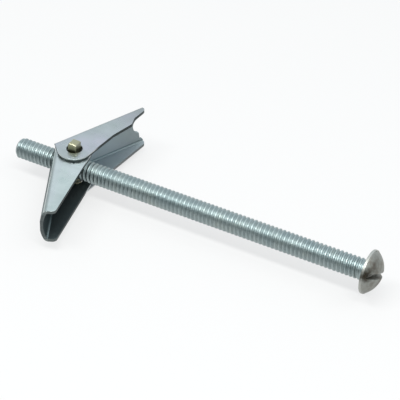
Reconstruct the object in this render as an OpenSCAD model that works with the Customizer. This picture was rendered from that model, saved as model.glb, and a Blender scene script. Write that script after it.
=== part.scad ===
// Spring toggle bolt: a slotted mushroom-head machine screw, a trunnion nut on its thread,
// two folded sheet wings that hinge on the nut's lugs, and the wire spring that opens them.
// Millimetres. +X runs along the screw from its tail to its head, and x = 0 is the face under
// the head. +Z runs along the nut's lugs. The outer wing opens towards +Y, the inner to -Y.

/* [Screw] */
// Diameter over the thread crests
screw_d = 6.22; // [4.8:0.02:8]
// Length from under the head to the tail
screw_len = 113; // [100:1:150]
// Chamfer at the tail
tail_chamfer = 0.8; // [0.3:0.1:1.2]
// Fillet between the shank and the head
neck_fillet = 0.4; // [0.2:0.1:0.8]
// How far the head's rim stands out beyond the shank
head_overhang = 3.29; // [2.4:0.01:4.5]
// Height of the head from its seat to its crown
head_h = 4.2; // [3.4:0.1:5.4]
// Height of the upright rim below the dome
rim_h = 0.9; // [0.5:0.1:1.2]
// Width of the driver slot
slot_w = 1.6; // [1.2:0.1:2]
// Thickness of the head left between the slot and the seat
slot_floor = 1.4; // [1:0.1:2]
// Turn of the slot about the screw, from +Y
slot_turn = 153; // [0:1:180]

/* [Nut] */
// Distance from under the head back to the hinge line
pivot_back = 94; // [70:1:96]
// Radial gap between the screw and the nut
thread_gap = 0.04; // [0.02:0.01:0.08]
// Thickness of the barrel's wall round the bore
barrel_wall = 1.1; // [0.8:0.05:1.3]
// Length of the barrel along the screw
barrel_len = 4.6; // [3.6:0.1:5.4]
// Thickness of the wall left between the bore and a flat of the barrel
flat_wall = 0.37; // [0.3:0.01:0.6]
// Size of a lug along the screw
lug_x = 2.6; // [2.2:0.1:3.2]
// Size of a lug across the screw
lug_y = 3; // [2.4:0.1:3.6]
// How far a lug stands out of the outer wing
lug_proud = 2.35; // [1.5:0.05:3]
// Chamfer round the end of each lug
lug_chamfer = 0.35; // [0.1:0.05:0.5]

/* [Wings] */
// Angle from the screw to each open wing
open_angle = 65; // [60:0.5:72]
// Distance from the hinge line to the tip of a wing
wing_len = 28; // [23:0.1:34]
// Thickness of the sheet
sheet = 1; // [0.7:0.05:1.2]
// Inside radius of the folds
fold_inside = 0.5; // [0.3:0.05:0.8]
// Gap between an inner ear and an outer ear
ear_gap = 0.12; // [0.1:0.02:0.3]
// Outside radius of the round ears
ear_r = 5; // [4.4:0.1:6]
// Radial gap between the corners of a lug and its holes in the ears
lug_gap = 0.415; // [0.2:0.005:0.6]
// Gap between the inner wing's ears and the folds of the outer wing
ear_room = 0.2; // [0.2:0.05:1]
// How much nearer the hinge line the inner wing's folds start than the edge of its ears
inner_fold_drop = 0.45; // [0:0.05:0.6]
// Radius of the bow across the outer wing's web
outer_bow_r = 16; // [13:0.5:30]
// Radius of the bow across the inner wing's web
inner_bow_r = 11; // [10:0.5:30]
// Height of the outer wing's free edge above the hinge line at its tip
outer_tip_w = 3.45; // [2.4:0.05:3.8]
// Height of the inner wing's free edge above the hinge line at its tip
inner_tip_w = 2.1; // [1.5:0.05:3]
// Radius on the free corners at the tip
tip_corner_r = 1.4; // [0.8:0.1:1.6]
// Length of a side behind the hinge line
heel = 2.6; // [2:0.1:3]
// How far the outer wing's sides reach past the end of its web
finger = 0.95; // [0.4:0.05:1.5]
// Radius of the scallop in the end of the outer wing's web
scallop_r = 3.05; // [2.5:0.05:4.5]
// Depth of that scallop
scallop_depth = 2; // [1:0.1:2.6]
// Gap each side of the screw in the notch of the inner wing's web
notch_play = 0.49; // [0.3:0.01:0.8]
// Distance from the tip back to the peak of the low bulge on the outer wing's +Z free edge
bulge_back = 7.5; // [6:0.1:10]
// Height of that bulge
bulge_h = 1.2; // [0.4:0.1:1.6]
// Length of its slow side, towards the ear
bulge_run = 7.5; // [4:0.5:9]
// Length of its steep side, towards the tip
bulge_step = 2.4; // [1.6:0.1:3.5]

/* [Spring] */
// Diameter of the wire
wire_d = 0.38; // [0.3:0.02:0.4]
// Radial gap between the corners of a lug and the coil round it
coil_play = 0.175; // [0.1:0.005:0.4]
// Room between a flat of the barrel and an inner ear, for the coil
coil_room = 1.01; // [1:0.01:1.5]
// Distance along a wing where the wire bears on its web
spring_reach = 9; // [7:0.5:14]

/* [Hidden] */
$fn = 96;
eps = 0.01;
stop_gap = 0.1;
web_play = 0.1;
// the straight edges of a wing's sides run this far inside the rounds they join
edge_inset = 0.01;

pivot = [-pivot_back, 0, 0];
screw_r = screw_d / 2;
head_r = screw_r + head_overhang;
dome_base_r = head_r - 0.2;
dome_h = head_h - rim_h;
dome_r = (dome_base_r * dome_base_r + dome_h * dome_h) / (2 * dome_h);

// across the hinge, from the bore out: barrel wall, coil, inner ear, outer ear, end of the lug
bore_r = screw_r + thread_gap;
barrel_r = bore_r + barrel_wall;
flat_z = bore_r + flat_wall;
inner_w = 2 * (flat_z + coil_room + sheet);
outer_w = inner_w + 2 * (ear_gap + sheet);
lug_span = outer_w + 2 * lug_proud;
lug_r = norm([lug_x, lug_y]) / 2;
ear_hole_r = lug_r + lug_gap;

fold_r = fold_inside + sheet;
// distances from the hinge line to where the folds start
outer_fold = ear_r + ear_room - fold_inside;
inner_fold = ear_r - inner_fold_drop;
// the outer wing's notch also lets in the heels of the inner wing
outer_notch_w = inner_w + 2 * ear_gap + 0.06;
inner_notch_w = screw_d + 2 * notch_play;

wire_r = wire_d / 2;
coil_r = lug_r + coil_play + wire_r;
coil_mid = flat_z + coil_room / 2;
coil_pitch = wire_d + 0.02;

// ---- screw ----

// Half outline of the screw: radius across, distance along the axis up.
module screw_profile() {
    union() {
        polygon([
            [0, -screw_len],
            [screw_r - tail_chamfer, -screw_len],
            [screw_r, -screw_len + tail_chamfer],
            [screw_r, eps],
            [0, eps]
        ]);
        difference() {
            translate([0, -neck_fillet]) square([screw_r + neck_fillet, neck_fillet + eps]);
            translate([screw_r + neck_fillet, -neck_fillet]) circle(neck_fillet);
        }
        head_profile();
    }
}

// Half outline of the head: a low upright rim under a spherical dome.
module head_profile() {
    intersection() {
        translate([0, head_h - dome_r]) circle(dome_r);
        translate([0, rim_h - eps]) square([dome_base_r + eps, dome_h + 1]);
    }
    rim_edge = 0.2;
    polygon([
        [0, 0],
        [head_r - rim_edge / 2, 0],
        [head_r, rim_edge / 2],
        [head_r, rim_h - rim_edge],
        [dome_base_r, rim_h],
        [0, rim_h]
    ]);
}

module machine_screw() {
    color("silver")
    rotate([0, 90, 0])
    difference() {
        rotate_extrude() screw_profile();
        // the profile's up axis becomes +X, so the slot is turned in the plane of the head
        rotate([0, 0, slot_turn])
        translate([-slot_w / 2, -head_r - 1, slot_floor])
        cube([slot_w, 2 * head_r + 2, head_h]);
    }
}

// ---- nut ----

// Both lugs in one bar with chamfered ends
module lug_bar() {
    half = lug_span / 2;
    intersection() {
        translate([-lug_x / 2, -lug_y / 2, -half]) cube([lug_x, lug_y, lug_span]);
        // chamfers on the sides that face along the screw, then on those that face across it
        rotate([90, 0, 0]) linear_extrude(lug_y + 1, center = true) chamfered_rect(lug_x, lug_span);
        rotate([90, 0, 90]) linear_extrude(lug_x + 1, center = true) chamfered_rect(lug_y, lug_span);
    }
}

module chamfered_rect(w, h) {
    x = w / 2;
    y = h / 2;
    c = lug_chamfer;
    polygon([
        [-x, -y + c], [-x + c, -y], [x - c, -y], [x, -y + c],
        [x, y - c], [x - c, y], [-x + c, y], [-x, y - c]
    ]);
}

module trunnion_nut() {
    color("goldenrod")
    translate(pivot)
    difference() {
        union() {
            intersection() {
                rotate([0, 90, 0]) cylinder(h = barrel_len, r = barrel_r, center = true);
                cube([barrel_len + 1, 2 * barrel_r + 1, 2 * flat_z], center = true);
            }
            lug_bar();
        }
        rotate([0, 90, 0]) cylinder(h = barrel_len + 2, r = bore_r, center = true);
    }
}

// ---- wings ----
// A wing is drawn folded flat, along +X from the hinge line, with its web on the +Y side.
// Its web is bowed outwards: an arc between the two folds, tangent to both.

// Height of the folds' centres above the centre of the bow
function bow_rise(width, bow_r) =
    sqrt((bow_r - fold_r) * (bow_r - fold_r) - (width / 2 - fold_r) * (width / 2 - fold_r));
// Distance from the hinge line to the back of the web
function web_back(width, fold, bow_r) = fold + bow_r - bow_rise(width, bow_r);

// Section of the sheet: width across Z, hinge line at y = 0, folds from y = fold up
module channel_section(width, fold, bow_r) {
    difference() {
        bowed_outline(width, fold, bow_r, 0);
        bowed_outline(width, fold, bow_r, sheet);
    }
}

// Outline of the section, moved in by inset on all sides but the open one
module bowed_outline(width, fold, bow_r, inset) {
    depth = ear_r + 1;
    fold_z = width / 2 - fold_r;
    rise = bow_rise(width, bow_r);
    spread = (bow_r + 1) / (bow_r - fold_r);
    translate([inset - width / 2, -depth]) square([width - 2 * inset, depth + fold]);
    for (side = [-1, 1])
        translate([side * fold_z, fold]) circle(fold_r - inset);
    intersection() {
        translate([0, fold - rise]) circle(bow_r - inset);
        // the part between the two folds
        polygon([
            [-fold_z, fold - 1],
            [fold_z, fold - 1],
            [fold_z, fold],
            [fold_z * spread, fold + rise * (spread - 1)],
            [-fold_z * spread, fold + rise * (spread - 1)],
            [-fold_z, fold]
        ]);
    }
}

// Middle of the round free corner at the tip
function tip_corner(tip_w) = [wing_len - tip_corner_r, tip_w + tip_corner_r];
// Direction square to the straight free edge, which is tangent to the ear and to that corner
function edge_normal(tip_w) =
    let (
        corner = tip_corner(tip_w),
        a = atan2(corner.y, corner.x) - acos((ear_r - tip_corner_r) / norm(corner))
    )
    [cos(a), sin(a)];
// Height of the free edge above the hinge line, u along the wing
function edge_w(u, tip_w) =
    let (n = edge_normal(tip_w)) (ear_r - edge_inset - n.x * u) / n.y;

// Direction of the point where the edge of the heel leaves the round ear
function heel_angle(back) = atan2(back, -heel) + acos(ear_r / norm([heel, back]));

// Outline of one side of a wing, seen along the hinge: a round ear that tapers to the tip
module side_outline(back, tip_w) {
    corner = tip_corner(tip_w);
    n = edge_normal(tip_w);
    heel_start = heel_angle(back);
    circle(ear_r);
    translate(corner) circle(tip_corner_r);
    polygon([
        [0, 0],
        (ear_r - edge_inset) * n,
        corner + (tip_corner_r - edge_inset) * n,
        corner,
        corner + [tip_corner_r, 0],
        [wing_len, back],
        [-heel, back],
        (ear_r - edge_inset) * [cos(heel_start), sin(heel_start)]
    ]);
}

// A wing without the openings in its web
module wing_blank(width, fold, bow_r, tip_w) {
    back = web_back(width, fold, bow_r);
    difference() {
        intersection() {
            // the section runs along the wing
            rotate([0, 90, 0]) translate([0, 0, -10])
            linear_extrude(wing_len + 20) channel_section(width, fold, bow_r);
            linear_extrude(width + 2, center = true) side_outline(back, tip_w);
        }
        cylinder(h = width + 2, r = ear_hole_r, center = true);
    }
}

// Cuts an outline, seen square on to the web, down through the web to the depth of the folds
module through_web(back, fold) {
    translate([0, back + 1, 0]) rotate([90, 0, 0])
    linear_extrude(back + 1 - fold) children();
}

// How far past the hinge line a web's notch must reach to clear the screw when the wing is open
function screw_notch_end(back) =
    (screw_r + stop_gap - (back - sheet) * cos(open_angle)) / sin(open_angle);

module web_notch(notch_end, notch_w) {
    translate([-heel - 2, -notch_w / 2]) square([heel + 2 + notch_end, notch_w]);
}

// The web stops short of the tip between the two sides, with a scallop in its end
module web_end() {
    web_len = wing_len - finger;
    end_w = outer_w - 2 * fold_r;
    translate([web_len, -end_w / 2]) square([finger + 1, end_w]);
    translate([web_len - scallop_depth + scallop_r, 0]) circle(scallop_r);
}

// Low bulge on the outer wing's free edge, steeper towards the tip: a triangle whose two lower
// corners lie inside the sheet, so that its sides cross the straight edge at a slant
module edge_bulge() {
    inside = 0.3;
    reach = 1 + inside / bulge_h;
    peak = wing_len - bulge_back;
    start = peak - bulge_run * reach;
    end = peak + bulge_step * reach;
    translate([0, 0, outer_w / 2 - sheet])
    linear_extrude(sheet)
    polygon([
        [start, edge_w(start, outer_tip_w) + inside],
        [peak, edge_w(peak, outer_tip_w) - bulge_h],
        [end, edge_w(end, outer_tip_w) + inside]
    ]);
}

module outer_wing() {
    back = web_back(outer_w, outer_fold, outer_bow_r);
    // past this the inner wing's heels no longer stand out of its round ears
    inner_heel = heel_angle(web_back(inner_w, inner_fold, inner_bow_r));
    heel_notch_end = ear_r * cos(360 - 2 * open_angle - inner_heel);
    color("lightsteelblue")
    translate(pivot) rotate([0, 0, open_angle])
    difference() {
        union() {
            wing_blank(outer_w, outer_fold, outer_bow_r, outer_tip_w);
            edge_bulge();
        }
        through_web(back, outer_fold)
        web_notch(max(screw_notch_end(back), heel_notch_end), outer_notch_w);
        through_web(back, outer_fold) web_end();
    }
}

module inner_wing() {
    back = web_back(inner_w, inner_fold, inner_bow_r);
    color("lightblue")
    translate(pivot) mirror([0, 1, 0]) rotate([0, 0, open_angle])
    difference() {
        wing_blank(inner_w, inner_fold, inner_bow_r, inner_tip_w);
        through_web(back, inner_fold) web_notch(screw_notch_end(back), inner_notch_w);
    }
}

// ---- spring ----
// One wire. Each half has a coil round a lug: one leg presses on the outer wing's web, and the
// other runs to the inner wing's web, where a straight bridge across it joins the two halves.

// Point that lies u along an open wing and w towards its back, s = 1 for the outer wing
function on_wing(u, w, s) = [
    u * cos(open_angle) - w * sin(open_angle),
    s * (u * sin(open_angle) + w * cos(open_angle))
];
// Angle on the coil where a straight leg to point p leaves it, on the side given by s
function leave_angle(p, s) = atan2(p.y, p.x) + s * acos(coil_r / norm(p));

// the free end lies against the inside of the outer web, the bridge across the inner wing's folds
outer_bow_inside = outer_bow_r - sheet - wire_r - web_play;
outer_wire_w = outer_fold - bow_rise(outer_w, outer_bow_r)
    + sqrt(outer_bow_inside * outer_bow_inside - coil_mid * coil_mid);
outer_end = on_wing(spring_reach, outer_wire_w, 1);
inner_end = on_wing(spring_reach, inner_fold, -1);
coil_start = leave_angle(outer_end, 1);
coil_sweep = leave_angle(inner_end, -1) + 720 - coil_start;
coil_rise = coil_pitch * coil_sweep / 360;
coil_steps = round(coil_sweep / 15);
bend_r = 2 * wire_d;

// Upper half of the wire, from its free end to the middle of the bridge
function coil_point(t) = [
    coil_r * cos(coil_start + t * coil_sweep),
    coil_r * sin(coil_start + t * coil_sweep),
    coil_mid + (t - 0.5) * coil_rise
];
function mirrored(p) = [p.x, p.y, -p.z];
function bend_point(a) =
    let (top = coil_point(1), along = [inner_end.x, inner_end.y, top.z] - top, dir = along / norm(along))
    top + along - bend_r * dir + [0, 0, -bend_r] + bend_r * (sin(a) * dir + [0, 0, cos(a)]);
upper_half = concat(
    [[outer_end.x, outer_end.y, coil_point(0).z]],
    [for (i = [0 : coil_steps]) coil_point(i / coil_steps)],
    [for (a = [0 : 30 : 90]) bend_point(a)]
);
last = len(upper_half) - 1;
wire_path = concat(upper_half, [for (i = [last : -1 : 0]) mirrored(upper_half[i])]);

module torsion_spring() {
    color("dimgray") translate(pivot) wire_along(wire_path, wire_r, 12);
}

function unit(v) = v / norm(v);
function path_dirs(p) = [
    for (i = [0 : len(p) - 1]) unit(p[min(i + 1, len(p) - 1)] - p[max(i - 1, 0)])
];
// A normal carried along the path without twist
function carried(dirs) = [
    for (
        i = 0, n = unit(cross(dirs[0], [0, 0, 1]));
        i < len(dirs);
        i = i + 1, n = i < len(dirs) ? unit(n - (n * dirs[i]) * dirs[i]) : n
    ) n
];

// Round wire swept along a path of points
module wire_along(path, r, sides) {
    dirs = path_dirs(path);
    normals = carried(dirs);
    points = [
        for (i = [0 : len(path) - 1], k = [0 : sides - 1])
            let (a = 360 * k / sides)
            path[i] + r * (cos(a) * normals[i] + sin(a) * cross(dirs[i], normals[i]))
    ];
    walls = [
        for (i = [0 : len(path) - 2], k = [0 : sides - 1])
            let (a = i * sides + k, b = i * sides + (k + 1) % sides)
            [a, a + sides, b + sides, b]
    ];
    first_end = [for (k = [0 : sides - 1]) k];
    last_end = [for (k = [sides - 1 : -1 : 0]) (len(path) - 1) * sides + k];
    polyhedron(points, concat([first_end], walls, [last_end]));
}

machine_screw();
trunnion_nut();
outer_wing();
inner_wing();
torsion_spring();
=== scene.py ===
"""Spring toggle bolt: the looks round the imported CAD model. Metres, CAD frame."""

import math

import bpy
import numpy as np
from mathutils import Matrix, Vector


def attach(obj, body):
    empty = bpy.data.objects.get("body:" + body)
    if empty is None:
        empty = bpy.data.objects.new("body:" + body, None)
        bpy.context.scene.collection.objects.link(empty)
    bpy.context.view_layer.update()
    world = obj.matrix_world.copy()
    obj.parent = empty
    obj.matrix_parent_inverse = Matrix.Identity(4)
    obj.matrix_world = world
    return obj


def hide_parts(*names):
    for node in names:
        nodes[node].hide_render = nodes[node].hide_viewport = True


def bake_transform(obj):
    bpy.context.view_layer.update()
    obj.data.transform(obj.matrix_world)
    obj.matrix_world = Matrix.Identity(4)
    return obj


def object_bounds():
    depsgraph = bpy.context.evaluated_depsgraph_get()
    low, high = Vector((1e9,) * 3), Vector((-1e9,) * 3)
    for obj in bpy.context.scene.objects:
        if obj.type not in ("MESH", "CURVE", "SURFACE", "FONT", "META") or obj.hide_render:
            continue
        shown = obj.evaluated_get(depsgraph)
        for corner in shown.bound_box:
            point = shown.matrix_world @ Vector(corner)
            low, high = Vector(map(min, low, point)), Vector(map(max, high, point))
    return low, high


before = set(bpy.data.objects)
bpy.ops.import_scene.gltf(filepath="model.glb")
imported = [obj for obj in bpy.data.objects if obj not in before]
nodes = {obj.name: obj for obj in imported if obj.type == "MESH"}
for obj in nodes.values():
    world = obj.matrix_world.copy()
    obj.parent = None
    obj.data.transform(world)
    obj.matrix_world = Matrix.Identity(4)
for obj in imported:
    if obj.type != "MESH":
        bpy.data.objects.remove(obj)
CAD_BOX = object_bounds()
MM = 0.001
bpy.context.scene.view_settings.view_transform = "Standard"


# ---------------------------------------------------------------- sizes, in millimetres
# the screw lies along X, with the seat of its head at 0 and its tail at -SCREW_LEN
SCREW_R, ROOT_R, PITCH = 3.11, 2.66, 1.27
SCREW_LEN, TAIL_CHAMFER = 113.0, 0.8
THREAD_END, RUN_OUT = -0.9, 1.5
NECK_R, NECK_FILLET = 3.02, 0.4
HEAD_R, DOME_BASE_R, RIM_H, HEAD_H = 6.4, 6.2, 0.9, 4.2
SLOT_W, SLOT_FLOOR, SLOT_TURN = 1.6, 1.4, math.radians(153)
SLOT_LIP, SLOT_FILLET = 0.16, 0.2
# a painted dark reflection by one end of the slot
SLOT_DARK_REFLECTION = (1.0, -4.6, 2.4)

# the wings hinge about a line along Z, stand open at an angle to the screw, and are bent from a sheet
PIVOT_X, OPEN = -94.0, math.radians(65)
SHEET = 1.0

# the spring: a coil round each lug, a leg to the outer wing, and a bridge across the inner wing
WIRE_R, COIL_R, COIL_Z, COIL_PITCH = 0.19, 2.35, 4.025, 0.40
LEG_REACH, OUTER_LEG_W, BRIDGE_W, BEND_R = 9.0, 5.294, 4.55, 0.76


# ---------------------------------------------------------------- mesh helpers
def make_mesh(name, verts_mm, faces):
    """A smooth-shaded object from vertices in millimetres."""
    mesh = bpy.data.meshes.new(name)
    mesh.from_pydata([tuple(v) for v in np.asarray(verts_mm, float) * MM], [], faces)
    mesh.validate()
    mesh.update()
    mesh.polygons.foreach_set("use_smooth", [True] * len(mesh.polygons))
    obj = bpy.data.objects.new(name, mesh)
    bpy.context.scene.collection.objects.link(obj)
    return obj


def point_attribute(obj, name, values):
    attribute = obj.data.attributes.new(name, "FLOAT", "POINT")
    attribute.data.foreach_set("value", np.asarray(values, np.float32))


def welded(verts, faces, values, tolerance=2e-4):
    """Merges vertices that coincide, and drops faces that collapse."""
    keys = np.round(np.asarray(verts) / tolerance).astype(np.int64)
    _, first, inverse = np.unique(keys, axis=0, return_index=True, return_inverse=True)
    inverse = inverse.ravel()
    kept = []
    for face in faces:
        ring = []
        for i in face:
            j = int(inverse[i])
            if not ring or ring[-1] != j:
                ring.append(j)
        if len(ring) > 1 and ring[0] == ring[-1]:
            ring.pop()
        if len(set(ring)) == len(ring) and len(ring) > 2:
            kept.append(ring)
    return np.asarray(verts)[first], kept, [np.asarray(v)[first] for v in values]


# ---------------------------------------------------------------- the screw
TURN_STEPS = 60
# one pitch of the thread from its crest: share of the pitch, and height from 0 at the root to 1
THREAD = [
    (0.00, 1.00), (0.08, 0.985), (0.14, 0.90), (0.22, 0.66), (0.30, 0.36), (0.37, 0.12),
    (0.43, 0.02), (0.50, 0.0), (0.57, 0.02), (0.63, 0.12), (0.70, 0.36), (0.78, 0.66),
    (0.86, 0.90), (0.92, 0.985),
]


class Shell:
    """The screw's vertices and faces, with each vertex's depth in a groove and its share in the head."""

    def __init__(self):
        self.verts, self.faces, self.groove, self.head = [], [], [], []

    def add(self, point, groove, head):
        self.verts.append(point)
        self.groove.append(groove)
        self.head.append(head)
        return len(self.verts) - 1

    def ring(self, x, radius, groove, head):
        """A circle of vertices round the screw's axis."""
        angles = [2 * math.pi * j / TURN_STEPS for j in range(TURN_STEPS)]
        return [self.add((x, radius * math.cos(a), radius * math.sin(a)), groove, head) for a in angles]

    def band(self, first, second):
        """Faces between two circles."""
        for j in range(TURN_STEPS):
            n = (j + 1) % TURN_STEPS
            self.faces.append([first[j], first[n], second[n], second[j]])

    def angle(self, i):
        return math.atan2(self.verts[i][2], self.verts[i][1]) % (2 * math.pi)

    def stitch(self, outer, inner):
        """Triangles between two closed rings, each in the order of its angles."""

        def angle_after(ring, i):
            return self.angle(ring[(i + 1) % len(ring)]) + (2 * math.pi if i + 1 >= len(ring) else 0)

        i = j = 0
        while i < len(outer) or j < len(inner):
            a, b = outer[i % len(outer)], inner[j % len(inner)]
            if j >= len(inner) or (i < len(outer) and angle_after(outer, i) <= angle_after(inner, j)):
                self.faces.append([a, outer[(i + 1) % len(outer)], b])
                i += 1
            else:
                self.faces.append([a, inner[(j + 1) % len(inner)], b])
                j += 1


def thread_point(column, row):
    """Where a vertex of the thread lies, and how deep in its groove."""
    tail = -SCREW_LEN
    share, height = THREAD[column % len(THREAD)]
    theta = 2 * math.pi * row / TURN_STEPS
    x = tail + PITCH * (column // len(THREAD) + share - 1 + row / TURN_STEPS)
    x = min(max(x, tail), THREAD_END)
    fade = min(1.0, max(0.0, (THREAD_END - x) / RUN_OUT))
    fade = fade * fade * (3 - 2 * fade)
    r = ROOT_R + (SCREW_R - ROOT_R) * height
    r = fade * r + (1 - fade) * NECK_R
    r = min(r, SCREW_R - TAIL_CHAMFER + (x - tail))
    # the chamfer at the tail takes an even, light share of the grooves' painted shade and roughness
    depth = (SCREW_R - r) / (SCREW_R - ROOT_R) if x > tail + 0.6 else 0.3
    return (x, r * math.cos(theta), r * math.sin(theta)), depth


def add_thread(shell):
    """The helical thread: a row of vertices for each step of a turn, along the whole screw."""
    points = len(THREAD)
    turns = math.ceil((THREAD_END + SCREW_LEN) / PITCH) + 2
    columns = turns * points
    grid = [[shell.add(*thread_point(i, j), 0.0) for i in range(columns + 1)] for j in range(TURN_STEPS)]
    for j in range(TURN_STEPS):
        for i in range(columns):
            if j + 1 < TURN_STEPS:
                beside = [grid[j + 1][i], grid[j + 1][i + 1]]
            else:
                # the last row meets the first one a pitch further on
                beside = [grid[0][min(i + points, columns)], grid[0][min(i + 1 + points, columns)]]
            shell.faces.append([grid[j][i], *beside, grid[j][i + 1]])


def add_tail(shell):
    """The flat end of the screw, with less of the grooves' painted shade and roughness towards its middle.
    """
    outer = shell.ring(-SCREW_LEN, SCREW_R - TAIL_CHAMFER, 0.3, 0.0)
    inner = shell.ring(-SCREW_LEN, 1.6, 0.1, 0.0)
    middle = shell.add((-SCREW_LEN, 0, 0), 0.1, 0.0)
    shell.band(inner, outer)
    for j in range(TURN_STEPS):
        shell.faces.append([inner[j], middle, inner[(j + 1) % TURN_STEPS]])


def add_rim(shell):
    """The neck, the seat and the rounded rim; returns the ring where the dome begins."""
    profile = [(THREAD_END, NECK_R)]
    for a in (15, 35, 55, 75, 90):
        t = math.radians(a)
        profile.append((-NECK_FILLET + NECK_FILLET * math.sin(t), NECK_R + NECK_FILLET * (1 - math.cos(t))))
    profile += [(0, 4.2), (0, 5.3), (0, 6.2)]
    profile += [(0.03, 6.31), (0.1, 6.38), (0.2, HEAD_R), (0.45, HEAD_R)]
    profile += [(0.66, HEAD_R), (0.78, 6.37), (0.86, 6.31)]
    last = None
    # the head's own metal begins on the neck's fillet
    for x, radius in profile:
        ring = shell.ring(x, radius, 0.0, 0.0 if x < -0.3 else 1.0)
        if last:
            shell.band(last, ring)
        last = ring
    return last


def dome_height(rho):
    """Height of the dome at a distance from the screw's axis."""
    radius = (DOME_BASE_R**2 + (HEAD_H - RIM_H) ** 2) / (2 * (HEAD_H - RIM_H))
    return float(HEAD_H - radius + np.sqrt(np.maximum(radius**2 - rho**2, 0)))


def slot_profile():
    """Lines of vertices over the head: kind, distance from the slot's middle line, and offset.

    The offset is a height above the floor, a depth below the dome, or a share of the wall.
    """
    half = SLOT_W / 2
    profile = [("floor", 0.0, 0.0), ("floor", 0.32, 0.0), ("floor", half - SLOT_FILLET, 0.0)]
    for a in (30, 60, 90):
        t = math.radians(a)
        across = half - SLOT_FILLET + SLOT_FILLET * math.sin(t)
        profile.append(("floor", across, SLOT_FILLET * (1 - math.cos(t))))
    profile += [("wall", half, 0.35), ("wall", half, 0.7)]
    for a in (0, 30, 60, 90):
        t = math.radians(a)
        profile.append(("lip", half + SLOT_LIP * (1 - math.cos(t)), SLOT_LIP * (1 - math.sin(t))))
    profile += [("dome", t, 0.0) for t in np.linspace(half + SLOT_LIP, DOME_BASE_R, 26)[1:-1]]
    return [(kind, -t, offset) for kind, t, offset in reversed(profile[1:])] + profile


def head_height(kind, across, along, offset):
    """How high a vertex of the head lies. The slot runs out where the dome comes down to its floor."""
    dome = dome_height(math.hypot(across, along))
    wall_top = dome_height(math.hypot(SLOT_W / 2, along))
    depth = max(wall_top - SLOT_FLOOR, 0.0)
    if kind == "lip":
        return dome - min(offset, depth * offset / SLOT_LIP * 0.5)
    if kind == "floor":
        return min(SLOT_FLOOR + min(offset, depth * 0.4), dome)
    if kind == "wall" and depth > 0:
        low = SLOT_FLOOR + min(SLOT_FILLET, depth * 0.4)
        high = wall_top - min(SLOT_LIP, depth * 0.5)
        return min(low + offset * (high - low), dome)
    return dome


def add_dome(shell, edge):
    """The slotted dome, joined to the ring at the rim's edge."""
    steps = 48
    shares = np.sin(np.linspace(-math.pi / 2, math.pi / 2, steps + 1))
    turn_cos, turn_sin = math.cos(SLOT_TURN), math.sin(SLOT_TURN)
    lines = []
    for kind, across, offset in slot_profile():
        line = []
        for share in shares:
            along = share * math.sqrt(DOME_BASE_R**2 - across * across)
            x = head_height(kind, across, along, offset)
            y = along * turn_cos - across * turn_sin
            z = along * turn_sin + across * turn_cos
            line.append(shell.add((x, y, z), 0.8 if kind == "floor" else 0.0, 1.0))
        lines.append(line)
    for a, b in zip(lines, lines[1:]):
        for i in range(steps):
            shell.faces.append([a[i], b[i], b[i + 1], a[i + 1]])

    # the two points of the dome's edge that lie furthest from the slot
    first = shell.add((RIM_H, DOME_BASE_R * turn_sin, -DOME_BASE_R * turn_cos), 0, 1.0)
    last = shell.add((RIM_H, -DOME_BASE_R * turn_sin, DOME_BASE_R * turn_cos), 0, 1.0)
    for i in range(steps):
        shell.faces.append([first, lines[0][i], lines[0][i + 1]])
        shell.faces.append([lines[-1][i], last, lines[-1][i + 1]])

    # the dome's edge, with each of its angles once, is joined to the rim
    ends = [line[-1] for line in lines] + [last] + [line[0] for line in reversed(lines)] + [first]
    ends.sort(key=shell.angle)
    base = []
    for i in ends:
        if not base or abs(shell.angle(i) - shell.angle(base[-1])) > 1e-5:
            base.append(i)
    shell.stitch(sorted(edge, key=shell.angle), base)


def screw_piece():
    """One closed mesh: thread, tail, neck, rim and slotted dome."""
    shell = Shell()
    add_thread(shell)
    add_tail(shell)
    add_dome(shell, add_rim(shell))
    verts, faces, (groove, head) = welded(shell.verts, shell.faces, [shell.groove, shell.head])
    obj = make_mesh("screw", verts, faces)
    point_attribute(obj, "groove", groove)
    point_attribute(obj, "head", head)
    return obj


# ---------------------------------------------------------------- the spring
def on_wing(u, w, side):
    """A point u along an open wing and w towards its back, from the hinge line."""
    return np.array([u * math.cos(OPEN) - w * math.sin(OPEN),
                     side * (u * math.sin(OPEN) + w * math.cos(OPEN))])


def rounded_end(tip, before, radius):
    """Points and radii that round off the end of a wire."""
    step = tip - before
    step /= np.linalg.norm(step)
    angles = (0.5, 1.0, 1.35)
    return [tip + step * radius * math.sin(a) for a in angles], [radius * math.cos(a) for a in angles]


def tube(name, path, radius, round_start):
    """A closed round wire along a path in millimetres."""
    sides = 12
    path = [np.asarray(p, float) for p in path]
    radii = [radius] * len(path)
    if round_start:
        points, thinner = rounded_end(path[0], path[1], radius)
        path = points[::-1] + path
        radii = thinner[::-1] + radii
    points = np.array(path)
    dirs = np.gradient(points, axis=0)
    dirs /= np.linalg.norm(dirs, axis=1)[:, None]
    normal = np.cross(dirs[0], [0.0, 0.0, 1.0])
    if np.linalg.norm(normal) < 0.1:
        normal = np.cross(dirs[0], [1.0, 0.0, 0.0])
    verts, faces = [], []
    for i, (p, d) in enumerate(zip(points, dirs)):
        normal = normal - d * normal.dot(d)
        normal /= np.linalg.norm(normal)
        other = np.cross(d, normal)
        for k in range(sides):
            a = 2 * math.pi * k / sides
            verts.append(p + radii[i] * (math.cos(a) * normal + math.sin(a) * other))
        if i:
            for k in range(sides):
                n = (k + 1) % sides
                faces.append([(i - 1) * sides + k, (i - 1) * sides + n, i * sides + n, i * sides + k])
    faces.append(list(range(sides))[::-1])
    faces.append([(len(points) - 1) * sides + k for k in range(sides)])
    return make_mesh(name, verts, faces)


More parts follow.
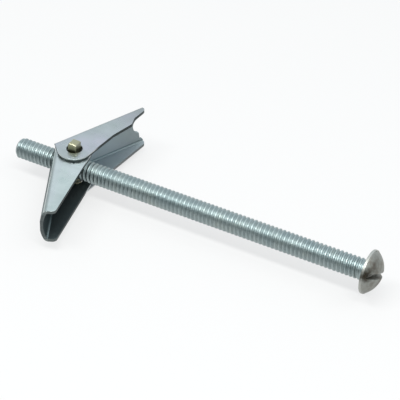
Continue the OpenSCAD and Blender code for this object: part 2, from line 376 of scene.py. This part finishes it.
def spring_paths():
    """The upper half of the wire as two paths that part in the middle of its coil, from the hinge line.

    Returned with them: the middle of the coil, and where the outer and the inner leg leave it.
    """
    outer_end = on_wing(LEG_REACH, OUTER_LEG_W, 1)
    inner_end = on_wing(LEG_REACH, BRIDGE_W, -1)

    def leaves_at(end, way):
        """The angle at which a straight leg to this end leaves the coil."""
        return math.atan2(end[1], end[0]) + way * math.acos(COIL_R / np.linalg.norm(end))

    first = leaves_at(outer_end, 1)
    sweep = leaves_at(inner_end, -1) + 4 * math.pi - first
    rise = COIL_PITCH * sweep / (2 * math.pi)

    def coil(t):
        a = first + t * sweep
        return np.array([COIL_R * math.cos(a), COIL_R * math.sin(a), COIL_Z + (t - 0.5) * rise])

    start, stop = coil(0), coil(1)
    half_steps = 32
    outer_tip = np.array([*outer_end, start[2]])
    outer_leg = [outer_tip + f * (start - outer_tip) for f in np.linspace(0, 1, 8)[:-1]]
    outer_path = outer_leg + [coil(t) for t in np.linspace(0, 0.5, half_steps + 1)]

    along = np.array([*inner_end, stop[2]]) - stop
    length = np.linalg.norm(along)
    along /= length
    inner_leg = [stop + along * f * (length - BEND_R) for f in np.linspace(0, 1, 8)[1:-1]]
    bend_middle = stop + along * (length - BEND_R) + np.array([0, 0, -BEND_R])
    bend = [bend_middle + BEND_R * (math.sin(a) * along + np.array([0, 0, math.cos(a)]))
            for a in np.radians(np.arange(0, 91, 10))]
    last = bend[-1]
    bridge = [np.array([last[0], last[1], z]) for z in np.linspace(last[2], 0, 8)[1:]]
    inner_path = [coil(t) for t in np.linspace(0.5, 1, half_steps + 1)] + inner_leg + bend + bridge
    return outer_path, inner_path, coil(0.5), start, stop


def spring_pieces():
    """One wire in four pieces, each half of each coil joined to the leg that leaves it."""
    outer_path, inner_path, middle, start, stop = spring_paths()
    origin = np.array([PIVOT_X, 0.0, 0.0])
    pieces = []
    for half, sign in (("upper", 1), ("lower", -1)):
        flip = np.array([1, 1, sign])
        for name, path, round_start, body, edge in (
                ("outer_leg", outer_path, True, "outer_wing", start),
                ("inner_leg", inner_path, False, "inner_wing", stop)):
            obj = tube(f"spring_{half}_{name}", [p * flip + origin for p in path], WIRE_R, round_start)
            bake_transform(obj)
            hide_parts("torsion_spring")
            pieces.append(obj)
    return pieces


# ---------------------------------------------------------------- shader helpers
def rgba(value):
    """A colour, or one number for a grey, with its alpha."""
    return (*value, 1) if isinstance(value, tuple) else (value, value, value, 1)


class Shader:
    """Builds a node tree with a short call for each node."""

    def __init__(self, tree):
        self.nodes, self.links = tree.nodes, tree.links

    def ramp(self, value, stops):
        """A colour, or a grey, for each place along the value."""
        node = self.nodes.new("ShaderNodeValToRGB")
        marks = node.color_ramp.elements
        for i, (position, color) in enumerate(stops):
            mark = marks[i] if i < 2 else marks.new(position)
            mark.position = position
            mark.color = rgba(color)
        self.links.new(value, node.inputs["Fac"])
        return node.outputs["Color"]

    def math(self, operation, *values):
        node = self.nodes.new("ShaderNodeMath")
        node.operation = operation
        for socket, value in zip(node.inputs, values):
            if isinstance(value, (int, float)):
                socket.default_value = value
            else:
                self.links.new(value, socket)
        return node.outputs[0]

    def both(self, a, b):
        """One mask where both are; a number weakens a mask."""
        return self.math("MULTIPLY", a, b)

    def either(self, a, b):
        return self.math("MAXIMUM", a, b)

    def outside(self, mask):
        return self.math("SUBTRACT", 1.0, mask)

    def along(self, vector, direction, offset=0.0):
        """How far a vector socket reaches along a direction."""
        node = self.nodes.new("ShaderNodeVectorMath")
        node.operation = "DOT_PRODUCT"
        node.inputs[1].default_value = direction
        self.links.new(vector, node.inputs[0])
        return self.math("ADD", node.outputs["Value"], offset)


class Metal(Shader):
    """One procedural metal, with the shader's sockets driven by textures."""

    def __init__(self, name):
        self.mat = bpy.data.materials.new(name)
        self.mat.use_nodes = True
        super().__init__(self.mat.node_tree)
        self.shader = self.nodes["Principled BSDF"]
        self.shader.inputs["Metallic"].default_value = 1.0
        coordinates = self.nodes.new("ShaderNodeTexCoord").outputs
        self.place, self.normal = coordinates["Object"], coordinates["Normal"]

    def noise(self, scale, detail=3.0, rough=0.55, stretch=(1, 1, 1), turn=0.0, shift=(0, 0, 0)):
        """Random patches, about as many to a metre as the scale."""
        node = self.nodes.new("ShaderNodeTexNoise")
        node.inputs["Scale"].default_value = scale
        node.inputs["Detail"].default_value = detail
        node.inputs["Roughness"].default_value = rough
        mapping = self.nodes.new("ShaderNodeMapping")
        mapping.inputs["Scale"].default_value = stretch
        mapping.inputs["Rotation"].default_value = (0, 0, turn)
        mapping.inputs["Location"].default_value = shift
        self.links.new(self.place, mapping.inputs["Vector"])
        self.links.new(mapping.outputs[0], node.inputs["Vector"])
        return node.outputs["Fac"]

    def mix(self, share, a, b):
        """From a to b, each a socket, a colour or one number, by a share from 0 to 1."""
        node = self.nodes.new("ShaderNodeMix")
        node.data_type = "RGBA"
        self.links.new(share, node.inputs[0])
        for socket, value in ((node.inputs[6], a), (node.inputs[7], b)):
            if isinstance(value, (int, float, tuple)):
                socket.default_value = rgba(value)
            else:
                self.links.new(value, socket)
        return node.outputs[2]

    def attribute(self, name):
        node = self.nodes.new("ShaderNodeAttribute")
        node.attribute_name = name
        return node.outputs["Fac"]

    def edges(self, strength=1.0):
        """Raised edges, as a mask."""
        geometry = self.nodes.new("ShaderNodeNewGeometry")
        return self.ramp(geometry.outputs["Pointiness"], [(0.53, 0.0), (0.60, strength)])

    def occlusion_shade(self, distance_mm, low=0.35, high=0.95):
        """Corners and crevices of the piece itself, from ambient occlusion, as a mask for painted shade."""
        node = self.nodes.new("ShaderNodeAmbientOcclusion")
        node.samples, node.only_local = 8, True
        node.inputs["Distance"].default_value = distance_mm * MM
        return self.ramp(node.outputs["AO"], [(low, 1.0), (high, 0.0)])

    def near(self, point_mm, radius_mm, reach_mm):
        """1 within the radius of a point, fading to 0 at the reach, with a ragged border."""
        away = self.nodes.new("ShaderNodeVectorMath")
        away.operation = "DISTANCE"
        self.links.new(self.place, away.inputs[0])
        away.inputs[1].default_value = [value * MM for value in point_mm]
        ragged = self.math("MULTIPLY", self.math("SUBTRACT", self.noise(900), 0.5), 2.0 * MM)
        away = self.math("ADD", away.outputs["Value"], ragged)
        return self.outside(self.step(away, radius_mm, reach_mm))

    def step(self, value, low_mm, high_mm):
        """0 below the low value, 1 above the high one, smooth between."""
        node = self.nodes.new("ShaderNodeMapRange")
        node.interpolation_type = "SMOOTHSTEP"
        self.links.new(value, node.inputs["Value"])
        node.inputs["From Min"].default_value = low_mm * MM
        node.inputs["From Max"].default_value = high_mm * MM
        return node.outputs["Result"]

    def beyond(self, value, limit_mm):
        return self.math("GREATER_THAN", value, limit_mm * MM)

    def short_of(self, value, limit_mm):
        return self.math("LESS_THAN", value, limit_mm * MM)

    def finished(self, color, roughness, bumps):
        """Connects the colour, the roughness and the bumps, each a height and a depth in millimetres."""
        self.links.new(color, self.shader.inputs["Base Color"])
        self.links.new(roughness, self.shader.inputs["Roughness"])
        normal = None
        for height, depth_mm in bumps:
            node = self.nodes.new("ShaderNodeBump")
            node.inputs["Strength"].default_value = 1.0
            node.inputs["Distance"].default_value = depth_mm * MM
            self.links.new(height, node.inputs["Height"])
            if normal:
                self.links.new(normal, node.inputs["Normal"])
            normal = node.outputs[0]
        self.links.new(normal, self.shader.inputs["Normal"])
        return self.mat


# ---------------------------------------------------------------- materials
def thread_color(s, groove_shade):
    plate = s.ramp(s.noise(260, 4), [(0.30, (0.295, 0.36, 0.368)), (0.55, (0.34, 0.40, 0.402)),
                                     (0.75, (0.35, 0.40, 0.382))])
    # painted shade down in the grooves, in patches
    thread = s.mix(groove_shade, plate, (0.225, 0.272, 0.275))
    # painted shade in the thread's crevices
    return s.mix(s.both(s.occlusion_shade(0.8), 0.3), thread, (0.068, 0.088, 0.088))


def head_color(s):
    """Duller than the thread, mottled and stained, with painted highlights along its edges and rim and a
    painted dark reflection by the slot.
    """
    mottle = s.ramp(s.noise(420, 5, 0.65), [(0.28, (0.225, 0.21, 0.185)), (0.45, (0.285, 0.29, 0.265)),
                                            (0.62, (0.305, 0.315, 0.295)), (0.78, (0.335, 0.31, 0.295))])
    stain = s.ramp(s.noise(190, 4, 0.6, shift=(0.204, 0.075, 0.014)), [(0.50, 0.0), (0.64, 0.75)])
    rim = s.outside(s.step(s.along(s.place, (1, 0, 0)), 0.5, 1.2))
    bright = (0.56, 0.57, 0.54)
    head = s.mix(stain, mottle, (0.109, 0.088, 0.068))
    # painted highlight along the head's edges
    head = s.mix(s.edges(0.55), head, bright)
    # painted highlight on the band by the seat and rim
    head = s.mix(s.both(rim, 0.5), head, bright)
    # painted dark reflection by one end of the slot
    return s.mix(s.near(SLOT_DARK_REFLECTION, 0.8, 2.6), head, (0.05, 0.042, 0.03))


def screw_metal():
    """Bluish zinc, with a little painted shade, in patches, down in the thread's grooves."""
    s = Metal("screw_zinc")
    head = s.attribute("head")
    groove = s.ramp(s.attribute("groove"), [(0.15, 0.0), (0.95, 1.0)])
    groove_shade = s.both(groove, s.ramp(s.noise(420), [(0.30, 0.05), (0.62, 0.35)]))
    color = s.mix(head, thread_color(s, groove_shade), head_color(s))
    rough = s.mix(head, s.ramp(s.noise(900), [(0.3, 0.36), (0.7, 0.46)]),
                  s.ramp(s.noise(500, 4), [(0.3, 0.42), (0.7, 0.60)]))
    rough = s.mix(groove, rough, 0.5)
    return s.finished(color, rough, [(s.noise(700), 0.04), (s.noise(5200), 0.02)])


def wing_metal(name, side, width, fold, tones, shift, web_shade, channel_shade, tip_grey):
    """Bright outside, rougher inside the channel, dark along the sheared edges of the sheet, with painted
    shade in the channel and on the free edges, and a painted highlight on each ear's edge.

    side is the side of the screw to which the wing opens, and fold is how high its sides reach before
    they bend into the web. web_shade, channel_shade and tip_grey are strengths from 0 to 1: painted
    shade on the web, painted shade through the channel with a painted highlight along its corners near
    the tip, and a greyer tip.
    """
    s = Metal(name)
    u = (math.cos(OPEN), side * math.sin(OPEN), 0)
    w = (-math.sin(OPEN), side * math.cos(OPEN), 0)
    reach = s.along(s.place, u, -PIVOT_X * MM * u[0])
    height = s.along(s.place, w, -PIVOT_X * MM * w[0])
    across = s.math("ABSOLUTE", s.along(s.place, (0, 0, 1)))
    inner_face = width / 2 - SHEET

    # zinc with faint streaks and spots, worn bright along its edges
    rolled = s.noise(300, 4, 0.6, stretch=(0.08, 1, 1), turn=-side * OPEN)
    plate = s.ramp(s.noise(85, shift=(shift, 0, 0)), list(zip((0.28, 0.45, 0.60, 0.78), tones)))
    plate = s.mix(s.ramp(rolled, [(0.45, 0.0), (0.75, 0.22)]), plate, (0.272, 0.306, 0.313))
    plate = s.mix(s.ramp(s.noise(900, 2, 0.5), [(0.68, 0.0), (0.76, 0.12)]), plate, (0.245, 0.258, 0.245))
    color = s.mix(s.both(s.edges(), 0.35), plate, (0.503, 0.53, 0.544))

    # the channel: painted shade in its depth, on its web and in its corners, a bluer painted shade through
    # it, and a painted highlight along its corners near the tip
    web_shade_grey = (0.05, 0.064, 0.064)
    within = s.short_of(across, inner_face + 0.15)
    faces_in = s.ramp(s.math("MULTIPLY", s.along(s.normal, w), -1.0), [(0.25, 0.0), (0.75, 1.0)])
    web = s.both(faces_in, s.short_of(across, inner_face - 0.05))
    corner = s.both(s.short_of(across, inner_face - 0.03), s.beyond(across, inner_face - 0.6))
    crease_highlight = s.both(s.both(corner, within), s.step(reach, 15, 25))
    # painted shade deep in the channel
    color = s.mix(s.occlusion_shade(6, 0.34, 0.673), color, (0.024, 0.037, 0.041))
    # painted shade on the inside of the web
    color = s.mix(s.both(web, web_shade), color, web_shade_grey)
    # painted shade in the channel's corners
    color = s.mix(s.both(corner, 0.8), color, web_shade_grey)
    # a bluer painted shade through the channel
    color = s.mix(s.both(within, 0.4), color, (0.34, 0.47, 0.51))
    # painted shade through the channel, strongest on the inner wing
    color = s.mix(s.both(within, channel_shade), color, (0.02, 0.034, 0.037))
    # painted highlight along the channel's corners near the tip
    color = s.mix(s.both(crease_highlight, channel_shade * 0.8), color, (0.30, 0.37, 0.38))
    color = s.mix(s.both(s.step(reach, 13, 27), tip_grey), color, (0.18, 0.18, 0.17))

    # sheared edges: faces square to the sheet at the sides' free edges, and at the wing's ends
    square = s.math("LESS_THAN", s.math("ABSOLUTE", s.along(s.normal, (0, 0, 1))), 0.6)
    on_sides = s.both(s.short_of(height, fold + 0.2), s.beyond(across, inner_face - 0.02))
    free_edge = s.both(square, on_sides)
    end = s.math("GREATER_THAN", s.math("ABSOLUTE", s.along(s.normal, u)), 0.75)
    sheared = s.ramp(s.noise(1500), [(0.3, (0.109, 0.122, 0.122)), (0.7, (0.177, 0.197, 0.197))])
    color = s.mix(s.both(s.either(end, free_edge), 0.75), color, sheared)

    # painted shade makes the free edges darker still until near the tip; less so on the outer wing's lower
    # side
    toward_tip = s.ramp(s.math("MULTIPLY", reach, 1 / (40 * MM)), [(0.60, 1.0), (0.70, 0.45)])
    lower_share = 0.25 if side > 0 else 1.0
    by_side = s.ramp(s.along(s.place, (0, 0, 60.0), 0.5), [(0.45, lower_share), (0.55, 1.0)])
    edge_shade = s.both(free_edge, s.both(toward_tip, by_side))
    color = s.mix(s.both(edge_shade, 0.9), color, (0.027, 0.037, 0.037))

    # a painted highlight along the outer side of each ear's edge
    lip = s.both(free_edge, s.beyond(across, width / 2 - 0.45))
    lip = s.both(lip, s.outside(s.step(reach, 4, 7)))
    color = s.mix(s.both(lip, 0.85), color, (0.68, 0.72, 0.73))

    rough = s.ramp(s.noise(400, 4), [(0.30, 0.24), (0.70, 0.38)])
    rough = s.mix(s.either(s.either(free_edge, end), within), rough, 0.55)
    return s.finished(color, rough, [(s.noise(210, 2), 0.08), (rolled, 0.015), (s.noise(3800), 0.012)])


def nut_metal():
    """Yellow-passivated zinc."""
    s = Metal("nut_yellow_zinc")
    plate = s.ramp(s.noise(320, 4), [(0.30, (0.28, 0.272, 0.168)), (0.50, (0.37, 0.358, 0.23)),
                                     (0.68, (0.395, 0.388, 0.28)), (0.82, (0.35, 0.35, 0.295))])
    worn = s.mix(s.edges(), plate, (0.585, 0.585, 0.544))
    # painted shade in the nut's corners
    color = s.mix(s.occlusion_shade(1.2), worn, (0.068, 0.061, 0.034))
    rough = s.ramp(s.noise(600), [(0.30, 0.28), (0.70, 0.44)])
    return s.finished(color, rough, [(s.noise(420), 0.06), (s.noise(4200, 2), 0.02)])


def wire_metal():
    """Drawn steel wire."""
    s = Metal("spring_wire")
    drawn = s.ramp(s.noise(700), [(0.30, (0.245, 0.252, 0.258)), (0.70, (0.354, 0.36, 0.367))])
    # painted shade in the wire's crevices
    color = s.mix(s.occlusion_shade(0.6), drawn, (0.068, 0.061, 0.054))
    rough = s.ramp(s.noise(1200, 2), [(0.30, 0.26), (0.70, 0.42)])
    return s.finished(color, rough, [(s.noise(5200, 2), 0.02)])


# ---------------------------------------------------------------- stage, light and camera
def floor_material():
    """Takes the shadow as a dark diffuse floor, and glows pale where the camera or metal sees it."""
    mat = bpy.data.materials.new("floor")
    mat.use_nodes = True
    s = Shader(mat.node_tree)
    s.nodes.clear()
    diffuse = s.nodes.new("ShaderNodeBsdfDiffuse")
    diffuse.inputs["Color"].default_value = rgba(0.15)
    path = s.nodes.new("ShaderNodeLightPath").outputs
    seen = s.either(s.either(path["Is Camera Ray"], path["Is Glossy Ray"]), path["Is Transmission Ray"])
    glow = s.nodes.new("ShaderNodeEmission")
    s.links.new(s.math("MULTIPLY", seen, 0.70), glow.inputs["Strength"])
    add = s.nodes.new("ShaderNodeAddShader")
    out = s.nodes.new("ShaderNodeOutputMaterial")
    s.links.new(diffuse.outputs[0], add.inputs[0])
    s.links.new(glow.outputs[0], add.inputs[1])
    s.links.new(add.outputs[0], out.inputs["Surface"])
    return mat


def floor():
    low = CAD_BOX[0].z
    bpy.ops.mesh.primitive_plane_add(size=6, location=(-0.05, 0, low - 0.2 * MM))
    plane = bpy.context.object
    plane.name = "floor"
    plane.data.materials.append(floor_material())


def studio():
    """White overhead and behind, with a dark opening low down in front, and dimmer at the two sides."""
    world = bpy.data.worlds.new("studio")
    bpy.context.scene.world = world
    world.use_nodes = True
    s = Shader(world.node_tree)
    s.nodes.clear()
    way = s.nodes.new("ShaderNodeTexCoord").outputs["Generated"]
    spread = s.nodes.new("ShaderNodeMapRange")
    spread.inputs["From Min"].default_value = -1.2
    s.links.new(s.along(way, (0.05, -0.90, -0.75)), spread.inputs["Value"])
    tones = s.ramp(spread.outputs["Result"], [
        (0.0, (0.74, 0.80, 0.85)), (0.20, (0.70, 0.76, 0.80)), (0.55, (0.56, 0.63, 0.65)),
        (0.68, (0.30, 0.36, 0.37)), (0.77, (0.07, 0.10, 0.11)), (0.86, (0.025, 0.035, 0.04)),
        (1.0, (0.02, 0.03, 0.035))])
    sideways = s.along(way, (1, 0, 0))
    strength = s.math("MULTIPLY_ADD", s.math("MULTIPLY", sideways, sideways), -1.1, 1.5)
    shade = s.nodes.new("ShaderNodeBackground")
    out = s.nodes.new("ShaderNodeOutputWorld")
    s.links.new(tones, shade.inputs["Color"])
    s.links.new(strength, shade.inputs["Strength"])
    s.links.new(shade.outputs[0], out.inputs["Surface"])


def area_light(name, direction, distance, width, length, energy, color):
    """A lamp that looks at the middle of the bolt, with its length along the screw."""
    data = bpy.data.lights.new(name, "AREA")
    data.energy, data.color = energy, color
    data.shape, data.size, data.size_y = "RECTANGLE", length, width
    obj = bpy.data.objects.new(name, data)
    bpy.context.scene.collection.objects.link(obj)
    middle = Vector((-0.06, 0, 0))
    back = Vector(direction).normalized()
    side = (Vector((1, 0, 0)) - back * back.x).normalized()
    turned = Matrix((side, back.cross(side), back)).transposed().to_4x4()
    obj.matrix_world = Matrix.Translation(middle + back * distance) @ turned


def camera():
    """The photograph's camera: its place, roll and lens come from a fit to points of the part."""
    data = bpy.data.cameras.new("camera")
    cam = bpy.data.objects.new("camera", data)
    bpy.context.scene.collection.objects.link(cam)
    bpy.context.scene.camera = cam
    azimuth, elevation, roll = math.radians(-62.68), math.radians(38.76), math.radians(1.60)
    target, distance = Vector((-58.75, 12.05, -6.82)) * MM, 557.6 * MM
    view_angle = math.radians(11.98)
    back = Vector((math.cos(elevation) * math.cos(azimuth), math.cos(elevation) * math.sin(azimuth),
                   math.sin(elevation)))
    level_right = Vector((0, 0, 1)).cross(back).normalized()
    level_up = back.cross(level_right)
    right = math.cos(roll) * level_right + math.sin(roll) * level_up
    placed = Matrix((right, back.cross(right), back)).transposed().to_4x4()
    placed.translation = target + distance * back
    cam.matrix_world = placed
    data.sensor_width = 36
    data.lens = data.sensor_width / 2 / math.tan(view_angle / 2)
    data.clip_start, data.clip_end = 0.01, 10


# ---------------------------------------------------------------- build
def use(obj, mat):
    obj.data.materials.clear()
    obj.data.materials.append(mat)


def round_edges(obj, width_mm):
    """Softens the sheared or cut edges of a CAD node."""
    weld = obj.modifiers.new("weld", "WELD")
    weld.merge_threshold = 0.005 * MM
    bevel = obj.modifiers.new("edges", "BEVEL")
    bevel.width, bevel.segments = width_mm * MM, 3
    bevel.limit_method, bevel.angle_limit = "ANGLE", math.radians(28)
    normals = obj.modifiers.new("normals", "WEIGHTED_NORMAL")
    normals.keep_sharp = False
    normals.weight = 80


screw = screw_piece()
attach(screw, "screw")
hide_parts("machine_screw")
use(screw, screw_metal())

# the photograph's two wings differ in tone, and the inner one has heavy painted shade inside its channel
use(nodes["outer_wing"], wing_metal(
    "outer_wing_zinc", side=1, width=13.3, fold=4.7, shift=0.0, web_shade=0.27, channel_shade=0.0, tip_grey=0.35,
    tones=((0.39, 0.44, 0.425), (0.44, 0.477, 0.485), (0.482, 0.493, 0.54), (0.503, 0.488, 0.503))))
use(nodes["inner_wing"], wing_metal(
    "inner_wing_zinc", side=-1, width=11.06, fold=4.55, shift=0.37, web_shade=0.75, channel_shade=0.86, tip_grey=0.0,
    tones=((0.47, 0.55, 0.53), (0.55, 0.615, 0.60), (0.60, 0.65, 0.655), (0.61, 0.62, 0.615))))
use(nodes["trunnion_nut"], nut_metal())
for name, width in (("outer_wing", 0.12), ("inner_wing", 0.14), ("trunnion_nut", 0.12)):
    round_edges(nodes[name], width)

wire = wire_metal()
for piece in spring_pieces():
    use(piece, wire)

floor()
studio()
area_light("strip", direction=(0.05, -0.36, 0.93), distance=0.62, width=0.10, length=0.80,
           energy=5.2, color=(1.0, 1.0, 0.98))
area_light("key", direction=(0.55, 0.10, 0.80), distance=0.80, width=0.35, length=0.35,
           energy=1.0, color=(1.0, 0.99, 0.97))
camera()
